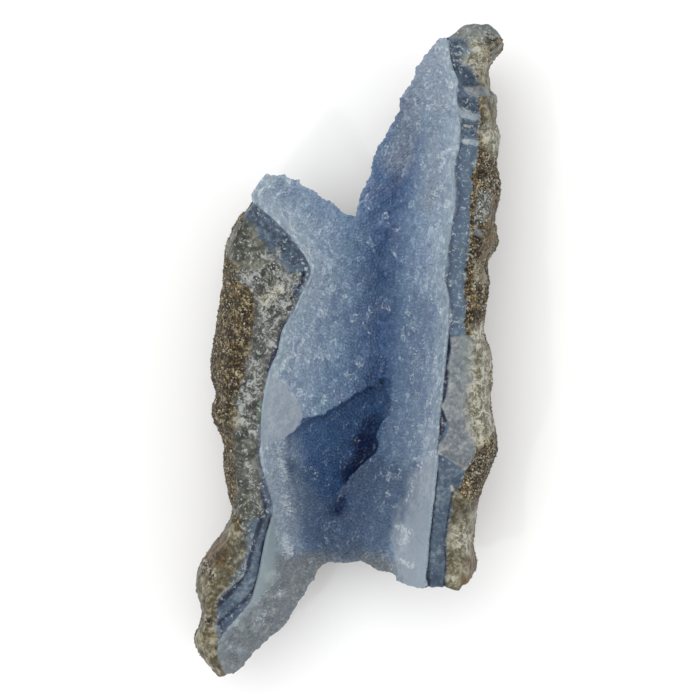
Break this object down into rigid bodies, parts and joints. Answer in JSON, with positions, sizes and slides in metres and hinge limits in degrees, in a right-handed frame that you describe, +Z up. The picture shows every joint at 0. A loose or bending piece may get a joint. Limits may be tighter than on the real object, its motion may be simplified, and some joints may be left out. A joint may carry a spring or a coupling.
{
  "type": "blue lace agate geode",
  "caption": "Broken length of a blue lace agate geode lying on its back: brown rind, banded walls and a V-shaped hollow lined with fine blue quartz crystals.",
  "frame": {"origin": "on the surface that the specimen lies on, under the middle of its bounding box", "axes": "+Y along the specimen towards its pointed end, +Z up out of the hollow"},
  "size_m": [0.0918, 0.1952, 0.0518],
  "materials": {
    "agate_and_rind": "rough brown and grey rind, smoother broken faces of grey quartz and blue banded agate",
    "quartz_druzy": "sugary crust of small glassy quartz crystals over blue agate"
  },
  "bodies": {
    "root": {"stone": "agate_and_rind", "druzy_crust": "quartz_druzy"}
  },
  "joints": []
}
